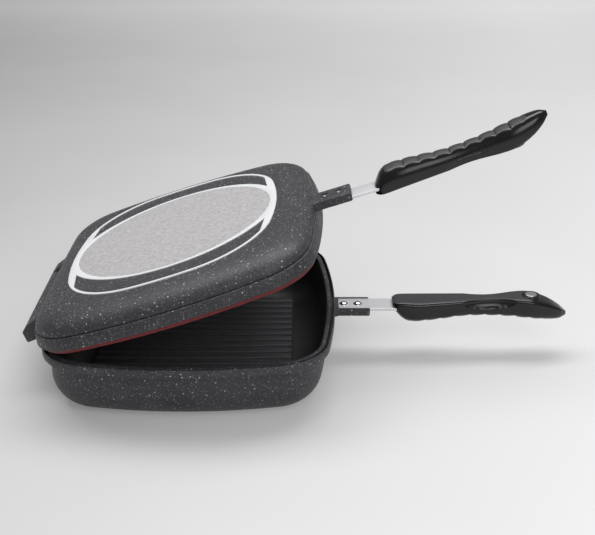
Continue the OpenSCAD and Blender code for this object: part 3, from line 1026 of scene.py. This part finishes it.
    def build(self) -> None:
        """Make and dress the pieces of this half."""
        f, at, half = self.finishes, self.places, self.half
        base, strip, coats = at.base(half), at.strip(half), [f.granite, f.cooking]
        boss = join([self.boss(), self.boss_root_flare()])
        screws = join([DomedScrew().at(x) for x in self.screw_x])
        for name, shape, place, materials, slot, node, *rest in (
            ("shell", self.shell(), base, coats, "granite_coat", "pan", 40),
            ("foot_ring", self.foot_plate(), base, [f.machined], "induction_steel", "pan"),
            ("base_plate", self.disc(), base, [f.disc], "induction_steel", "base_disc"),
            ("boss", boss, strip, [f.granite], "granite_coat", "pan", 30, self.boss_bevel),
            ("knuckle", self.hinge_side(), at.hinge(half), [f.granite], "granite_coat", "pan"),
            ("domed_screws", screws, strip, [f.chrome], "screw_chrome", "tang_screws"),
            ("strip_root", self.strip(), strip, [f.strip], "strip_steel", "tang"),
            ("strip_end", self.strip_end(), at.grip(half), [f.strip], "strip_steel", "tang"),
        ):
            Piece(half.named(name), shape, place, materials, slot, half.named(node), *rest).make(half)


@dataclass
class LowerHalf(PanHalf):
    """Deep half with a banded rim, ribs on its floor and the barrel of the hinge."""

    half: Half = Half.LOWER
    height: float = 61.6
    band_h: float = 9
    band_out: float = 7.5
    round: float = 32
    rim_w: float = 8.5
    groove: Triple = (1.2, 4.0, 6.4)
    inner_in: float = 14.2
    inner_round: float = 26.5
    rib_pitch: float = 13.4
    rib_count: int = 8
    rib_size: Triple = (102, 4.8, 3)
    rib_lap: float = 0.6
    rib_crown: Triple = (0.985, 0.9, 1)
    rib_edge: float = 1.1
    barrel_half: float = 58.5
    barrel_r: float = 6
    barrel_edge: float = 0.7
    barrel_steps: int = 56
    web_in: float = 1
    web_reach: float = 20
    web_drop: float = 1
    web_top: float = -4.6
    web_edge: float = 0.5

    def section(self) -> list[Corner]:
        """Return the wall section."""
        top, (near, far, deep) = self.height, self.groove
        band, floor = top - self.band_h, self.foot_h + self.floor_t
        return [
            Corner(self.reach, self.foot_h),
            Corner(self.band_out, self.foot_h, self.round, 16),
            Corner(self.band_out, band, 1.6),
            Corner(0, band, 1.5),
            Corner(0, top, 1.1),
            Corner(near, top, 0.05, 1),
            Corner(near, top - deep),
            Corner(far, top - deep),
            Corner(far, top, 0.3, 2),
            Corner(self.rim_w, top, 1.5),
            Corner(self.inner_in, floor, self.inner_round, 14),
            Corner(self.reach, floor),
        ]

    def ribs(self) -> BMesh:
        """Return the ribs of the cooking floor."""
        shape = bmesh.new()
        low, (x, y, high) = self.foot_h + self.floor_t, self.rib_size
        verts = block(shape, (-x, -y, low - self.rib_lap), (x, y, low + high))
        crown = [v for v in verts if v.co.z > low]
        bmesh.ops.scale(shape, vec=self.rib_crown, verts=crown)
        rounded(shape, {e for v in crown for e in v.link_edges}, self.rib_edge, 3)
        first = shape.verts[:] + shape.edges[:] + shape.faces[:]
        for k in range(1, self.rib_count + 1):
            for side in (-1, 1):
                copy = bmesh.ops.duplicate(shape, geom=first)["geom"]
                moved(shape, (0, side * k * self.rib_pitch, 0), verts_in(copy))
        return shape

    def hinge_side(self) -> BMesh:
        """Return the barrel and the web that carries it."""
        shape, web = bmesh.new(), bmesh.new()
        rod(shape, self.barrel_r, 2 * self.barrel_half, self.barrel_steps)
        level = [e for e in shape.edges if abs(abs(e.verts[0].co.y) - abs(e.verts[1].co.y)) < LEVEL]
        rounded(shape, {e for e in level if e.calc_face_angle(0) > CORNER_TURN}, self.barrel_edge)
        wide, low = self.barrel_half - self.web_in, -self.barrel_r - self.web_drop
        block(web, (0, -wide, low), (self.web_reach, wide, self.web_top), self.web_edge)
        return join([shape, web])

    def build(self) -> None:
        """Make and dress the pieces of this half."""
        super().build()
        # The ribs' lighter coat is painted light, set against the darker cooking floor between them.
        base, coat = self.places.base(self.half), [self.finishes.painted_lit_ribs]
        Piece("lower_ribs", self.ribs(), base, coat, "granite_coat", "lower_pan").make(self.half)


@dataclass
class UpperHalf(PanHalf):
    """Shallow half with a skirt, the rim seal and the two arms of the hinge."""

    half: Half = Half.UPPER
    depth: float = 29.4
    skirt_h: float = 11.1
    skirt_step: float = 1.8
    notch: float = 1.2
    notch_drop: float = 0.2
    skirt_top: float = -0.1
    rim_w: float = 8.5
    shoulder_w: float = 37
    shoulder_steps: int = 18
    inner_r: float = 16
    seat: Triple = (1.5, 3.7, 2)
    seal_in: float = 1.6
    seal_t: float = 2
    seal_root: float = 1.9
    seal_slack: float = 0.05
    seal_step: Pair = (0.3, 0.9)
    seal_reach: float = 35.4
    lip_out: float = 2.4
    lip_drop: float = 1.0
    lip_fit: float = 0.4
    arm_in: float = 59.5
    arm_w: float = 17.5
    arm_edge: float = 1.1
    arm_side: tuple[Pair, ...] = (
        (-6.4, 2.3), (0.5, 7.7), (15, 12.8), (23.5, 12.8), (23.5, 2.7), (14, 2.7), (3.1, -8.8), (-5.8, -9.4)
    )
    pin_r: float = 2.56
    bore_length: float = 7
    bore_steps: int = 36

    def shoulder(self, step: float) -> list[Corner]:
        """Return the quarter oval from the foot ring out to the skirt.

        Args:
            step: height at which the skirt begins.

        Returns:
            Its corners, from the foot.
        """
        drop = step - self.foot_h
        turns = [math.pi / 2 * k / self.shoulder_steps for k in range(self.shoulder_steps, -1, -1)]
        return [
            Corner(
                self.skirt_step + self.shoulder_w * (1 - math.cos(turn)),
                self.foot_h + drop * (1 - math.sin(turn)),
            )
            for turn in turns
        ]

    def section(self) -> list[Corner]:
        """Return the wall section, measured from the foot ring towards the edge."""
        top, (near, far, deep) = self.depth, self.seat
        step, lip, floor = top - self.skirt_h, top + self.lip_drop, self.foot_h + self.floor_t
        groove = self.skirt_step + self.notch
        return [
            Corner(self.reach, self.foot_h),
            *self.shoulder(step),
            Corner(groove, step + self.notch_drop, 0.2, 2),
            Corner(groove, step + self.notch, 0.2, 2),
            Corner(self.skirt_top, step + self.notch, 0.5, 3),
            Corner(-self.lip_out, lip, 0.5, 3),
            Corner(-self.lip_fit, lip, 0.2, 2),
            Corner(-self.lip_fit, top),
            Corner(near, top),
            Corner(near, top - deep),
            Corner(far, top - deep),
            Corner(far, top),
            Corner(self.rim_w, top, 1.2),
            Corner(self.rim_w, floor, self.inner_r, 8),
            Corner(self.reach, floor),
        ]

    def seal(self) -> BMesh:
        """Return the seal: a stem in the rim and a rounded lip below it."""
        near, far = self.seal_in, self.seal_in + self.seal_t
        low, high = self.seal_step
        stem = [
            (self.seal_slack, self.depth - self.seal_root),
            (self.seal_slack, self.depth + low),
            (0, self.depth + high),
        ]
        corners = [Corner(near + slack, z, 0.2, 2) for slack, z in stem]
        corners += [Corner(side, self.seal_reach, 0.8, 4) for side in (near, far)]
        corners += [Corner(far - slack, z, 0.2, 2) for slack, z in reversed(stem)]
        return self.outline.sweep(corners, self.arc_steps, True)

    def hinge_side(self) -> BMesh:
        """Return both arms, the far one with the open end of the pin hole."""
        arms = []
        for y in (-self.arm_in - self.arm_w, self.arm_in):
            arm = bmesh.new()
            face = arm.faces.new([arm.verts.new((x, y, z)) for x, z in self.arm_side])
            new = bmesh.ops.extrude_face_region(arm, geom=[face])["geom"]
            outwards(moved(arm, (0, self.arm_w, 0), verts_in(new)))
            rounded(arm, set(arm.edges), self.arm_edge, 3)
            arms.append(arm)
        bore = bmesh.new()
        rod(bore, self.pin_r, self.bore_length, self.bore_steps, self.arm_in + self.arm_w)
        return join([arms[0], carved(arms[1], [bore])])

    def build(self) -> None:
        """Make and dress the pieces of this half."""
        super().build()
        base, coat = self.places.base(self.half), [self.finishes.seal]
        Piece("seal_ring", self.seal(), base, coat, "seal_red", "rim_seal", 40).make(self.half)


# ---------------------------------------------------------------- grips


@dataclass(frozen=True)
class Station:
    """A cross section of the grip: place along it, mating face, outer face and half width."""

    at: float
    face: float
    outer: float
    half: float


@dataclass
class Grip:
    """Moulded grip with finger ridges outside, a thumb scallop on each side and a magnet in its face."""

    half: Half
    finishes: Finishes
    places: Places = Places()
    length: float = 180
    magnet_at: float = 143
    face_at_magnet: float = 4.3
    cup_stand: float = 1.1
    cup_r: float = 9.5
    cup_h: float = 7.4
    cup_fit: float = 0.1
    recess_top: float = 12
    magnet_r: float = 6
    magnet_t: float = 4.2
    proud: float = 0.5
    turn_steps: int = 56
    sides: int = 104
    steps: int = 190
    last: float = 0.99999
    waist: float = 0.36
    face_power: float = 5
    outer_power: float = 2.25
    ridge_start: float = 0.105
    ridge_end: float = 0.875
    ridge_count: int = 9
    ridge_depth: float = 2.2
    ridge_half: float = 0.52
    ridge_side: float = 0.3
    ridge_fade: float = 0.34
    ridge_lean: float = 0.8
    ridge_round: float = 0.38
    ridge_ramp: float = 0.02
    matt_before: float = 0.02
    matt_after: float = 0.01
    matt_side: float = 0.05
    lit_face_depth: float = 0.2
    scallop_at: float = 0.55
    scallop_half: float = 0.155
    scallop_drop: float = 3.4
    scallop_reach: float = 6.0
    scallop_depth: float = 4.2
    oval_at: float = 0.18
    oval_half: Pair = (9.5, 3.6)
    oval_depth: float = 0.4
    oval_edge: Pair = (1.15, 0.3)
    stations: tuple[Station, ...] = (
        Station(0, -0.9, -6, 8.5),
        Station(0.012, 0.3, -9.6, 11),
        Station(0.03, 1.1, -13.8, 13.2),
        Station(0.055, 1.4, -18.8, 14.3),
        Station(0.09, 1.35, -22.4, 15.1),
        Station(0.15, 1.2, -23.2, 15.8),
        Station(0.28, 1.9, -20.8, 14),
        Station(0.4, 2.6, -17.8, 12.2),
        Station(0.53, 3.2, -17, 11.4),
        Station(0.68, 4.6, -18, 12.6),
        Station(0.79, 4.3, -19.8, 15.2),
        Station(0.89, -0.9, -20.8, 13),
        Station(0.96, -7.6, -20.4, 8.6),
        Station(1, -13, -17.6, 2.4),
    )

    def station(self, at: float) -> Station:
        """Return the smooth cross section at a place along the grip."""
        rows = self.stations
        k = max(i for i in range(len(rows) - 1) if rows[i].at <= at)
        a, b = rows[k], rows[k + 1]
        share = (at - a.at) / (b.at - a.at)
        before, after = rows[max(k - 1, 0)], rows[min(k + 2, len(rows) - 1)]

        def eased(name: str) -> float:
            """Return the value of one field on a curve through the four nearest stations."""
            v0, v1, v2, v3 = (getattr(s, name) for s in (before, a, b, after))
            gap = b.at - a.at
            m1 = (v2 - v0) / (b.at - before.at) * gap
            m2 = (v3 - v1) / (after.at - a.at) * gap
            t2, t3 = share * share, share**3
            start, end = (2 * t3 - 3 * t2 + 1) * v1, (3 * t2 - 2 * t3) * v2
            return start + (t3 - 2 * t2 + share) * m1 + end + (t3 - t2) * m2

        return Station(at, eased("face"), eased("outer"), eased("half"))

    def ridge(self, at: float) -> float:
        """Return the depth of the valley between two finger ridges, from 0 to 1."""
        if not self.ridge_start <= at <= self.ridge_end:
            return 0
        turn = (at - self.ridge_start) / (self.ridge_end - self.ridge_start) * self.ridge_count
        lean = (turn % 1) ** self.ridge_lean
        ends = min((at - self.ridge_start) / self.ridge_ramp, (self.ridge_end - at) / self.ridge_ramp, 1)
        return (1 - math.sin(math.pi * lean) ** self.ridge_round) * ends

    def ring_point(self, s: Station, index: int) -> Vector:
        """Return one point of a cross section.

        Args:
            s: the cross section.
            index: which of its points.

        Returns:
            The point in the grip's own millimetres.
        """
        angle = math.tau * (index + 0.5) / self.sides
        c, d = math.cos(angle), math.sin(angle)
        middle = s.face - self.waist * (s.face - s.outer)
        power = self.face_power if d > 0 else self.outer_power
        reach = s.face - middle if d > 0 else middle - s.outer
        across = math.copysign(abs(c) ** (2 / power), c)
        y = s.half * across
        z = middle + reach * math.copysign(abs(d) ** (2 / power), d)
        if d < 0:
            zone = (self.ridge_half + self.ridge_side - abs(across)) / self.ridge_fade
            z += self.ridge_depth * self.ridge(s.at) * min(max(zone, 0), 1)
        along = (s.at - self.scallop_at) / self.scallop_half
        tall = (s.face - z - self.scallop_drop) / self.scallop_reach
        y -= math.copysign(self.scallop_depth * max(0.0, 1 - along * along - tall * tall), y)
        if d > 0:
            (long, wide), (rim, fade) = self.oval_half, self.oval_edge
            oval = ((s.at - self.oval_at) * self.length / long) ** 2 + (y / wide) ** 2
            z -= self.oval_depth * min(max((rim - oval) / fade, 0), 1)
        return Vector((s.at * self.length, y, z))

    def matt(self, middle: Vector) -> bool:
        """Return whether a place on the skin is matt: the ridges' zone and the mating face, whose lighter
        matt colour is painted light from above.
        """
        at = middle.x / self.length
        s = self.station(min(max(at, 0), self.last))
        outside = middle.z < s.face - self.waist * (s.face - s.outer)
        ridged = self.ridge_start - self.matt_before < at < self.ridge_end + self.matt_after
        narrow = abs(middle.y) < s.half * (self.ridge_half + self.matt_side)
        # The mating face takes the lighter matt skin as painted light from above.
        lit_face = middle.z > s.face - self.oval_depth - self.lit_face_depth and middle.x < self.magnet_at
        return lit_face or outside and ridged and narrow

    def body(self) -> BMesh:
        """Return the grip, drawn on ring by ring from its nose, with the matt skin in the second material."""
        shape = bmesh.new()
        ring = bmesh.ops.create_circle(shape, cap_ends=True, radius=1, segments=self.sides)["verts"]
        order: list[BMVert] = sorted(ring, key=lambda v: math.atan2(v.co.y, v.co.x) % math.tau)
        for index, vert in enumerate(order):
            vert.co = self.ring_point(self.station(0), index)
        edges = [e for e in shape.edges if len(e.link_faces) < 2]
        for k in range(1, self.steps + 1):
            s = self.station(min(k / self.steps, self.last))
            new = bmesh.ops.extrude_edge_only(shape, edges=edges)["geom"]
            fresh = set(verts_in(new))
            order = [next(v for e in old.link_edges for v in e.verts if v in fresh) for old in order]
            for index, vert in enumerate(order):
                vert.co = self.ring_point(s, index)
            edges = [g for g in new if isinstance(g, BMEdge) and all(v in fresh for v in g.verts)]
        bmesh.ops.holes_fill(shape, edges=edges, sides=0)
        for face in outwards(shape).faces:
            face.material_index = 1 if len(face.verts) == 4 and self.matt(face.calc_center_median()) else 0
        return shape

    def spun(self, corners: list[Corner]) -> BMesh:
        """Return a turned shape that stands at the magnet's place."""
        return moved(turned_shape(corners, self.turn_steps), (self.magnet_at, 0, 0))

    def recess(self) -> BMesh:
        """Return the round cut in the face that takes the magnet cup."""
        floor, wide = self.face_at_magnet + self.cup_stand - self.cup_h, self.cup_r + self.cup_fit
        top = self.recess_top
        return self.spun([Corner(0, floor), Corner(wide, floor), Corner(wide, top), Corner(0, top)])

    def cup(self) -> BMesh:
        """Return the collar round the magnet."""
        top, inner = self.face_at_magnet + self.cup_stand, self.magnet_r + self.cup_fit
        low, seat = top - self.cup_h, top + self.proud - self.magnet_t
        return self.spun(
            [
                Corner(0, low),
                Corner(self.cup_r, low, 0.3, 2),
                Corner(self.cup_r, top, 1.3, 5),
                Corner(inner, top, 0.5, 3),
                Corner(inner, seat),
                Corner(0, seat),
            ]
        )

    def magnet(self) -> BMesh:
        """Return the bright magnet disc."""
        top, r = self.face_at_magnet + self.cup_stand + self.proud, self.magnet_r
        low = top - self.magnet_t
        return self.spun([Corner(0, low), Corner(r, low), Corner(r, top, 0.6, 3), Corner(0, top)])

    def build(self) -> None:
        """Make and dress the grip, its collar and its magnet."""
        f, half = self.finishes, self.half
        for name, shape, materials, slot, node in (
            ("handle", carved(self.body(), [self.recess()]), [f.gloss, f.matt], "grip_black", "grip"),
            ("collar", self.cup(), [f.gloss], "grip_black", "magnet_cup"),
            ("magnet_disc", self.magnet(), [f.magnet], "magnet_plate", "magnet"),
        ):
            place = self.places.grip(half)
            Piece(half.named(name), shape, place, materials, slot, half.named(node), 32).make(half)


# ---------------------------------------------------------------- studio


@dataclass(frozen=True)
class Lamp:
    """A soft lamp: its name, where it hangs, its length and width, and its watts."""

    name: str
    place: Triple
    size: Pair
    power: float

    def hang(self, aim: Triple) -> None:
        """Hang it so that it faces a point."""
        data = bpy.data.lights.new(self.name, "AREA")
        data.shape, data.energy = "RECTANGLE", self.power
        data.size, data.size_y = self.size
        lamp = linked(self.name, data)
        lamp.location = self.place
        lamp.rotation_euler = (Vector(aim) - Vector(self.place)).to_track_quat("-Z", "Y").to_euler()


@dataclass
class Studio:
    """Camera, floor, lamps and the world round them."""

    eye: Triple = (0.1066, -1.0224, 0.5397)
    pitch: float = 66.5
    lens: float = 66.1
    sensor: float = 36
    floor_half: float = 60000
    world: float = 0.26
    sky: Triple = (0.98, 0.99, 1.0)
    aim: Triple = (0.0, 0.0, 0.08)
    lamps: tuple[Lamp, ...] = (
        Lamp("overhead", (-0.1, 0.45, 1.9), (2.4, 0.75), 33),
        Lamp("front", (0.6, -1.8, 1.5), (1.2, 1.2), 14),
    )

    def camera(self) -> None:
        """Set up the camera at the photograph's place."""
        data = bpy.data.cameras.new("camera")
        data.lens, data.sensor_width = self.lens, self.sensor
        camera = linked("camera", data)
        camera.location = self.eye
        camera.rotation_euler = (math.radians(self.pitch), 0, 0)
        bpy.context.scene.camera = camera

    def floor(self) -> None:
        """Lay the pale floor."""
        shape = bmesh.new()
        bmesh.ops.create_grid(shape, x_segments=2, y_segments=2, size=self.floor_half)
        floor = shape_to_object("floor", shape, Matrix.Identity(4), [StudioFloor().paint()])

    def lights(self) -> None:
        """Set the world, the lamps and the plain view transform."""
        bpy.context.scene.view_settings.view_transform = "Standard"
        world = bpy.data.worlds.new("studio")
        bpy.context.scene.world = world
        world.use_nodes = True
        sky = world.node_tree.nodes["Background"]
        sky.inputs["Color"].default_value = (*self.sky, 1)
        sky.inputs["Strength"].default_value = self.world
        for lamp in self.lamps:
            lamp.hang(self.aim)


def paint_small_metal(finishes: Finishes) -> None:
    """Paint the CAD nodes whose shape is right and that only need a finish."""
    # The nuts take the very dark screw steel, which paints the shade of their pockets.
    steel = ("lower_tang_nuts", "upper_tang_nuts", "lower_grip_screw", "upper_grip_screw")
    for names, material in ((steel, finishes.screw), (("hinge_pin", "hinge_washers"), finishes.chrome)):
        for name in names:
            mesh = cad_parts[name].data
            mesh.materials.clear()
            mesh.materials.append(material)


def main() -> None:
    """Build the studio and every piece of the object."""
    logging.basicConfig(level=logging.INFO)
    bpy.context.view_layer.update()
    studio = Studio()
    studio.camera()
    studio.floor()
    studio.lights()
    finishes = Finishes()
    paint_small_metal(finishes)
    LowerHalf(finishes=finishes).build()
    UpperHalf(finishes=finishes).build()
    for half in Half:
        Grip(half, finishes).build()


if __name__ == "__main__":
    main()
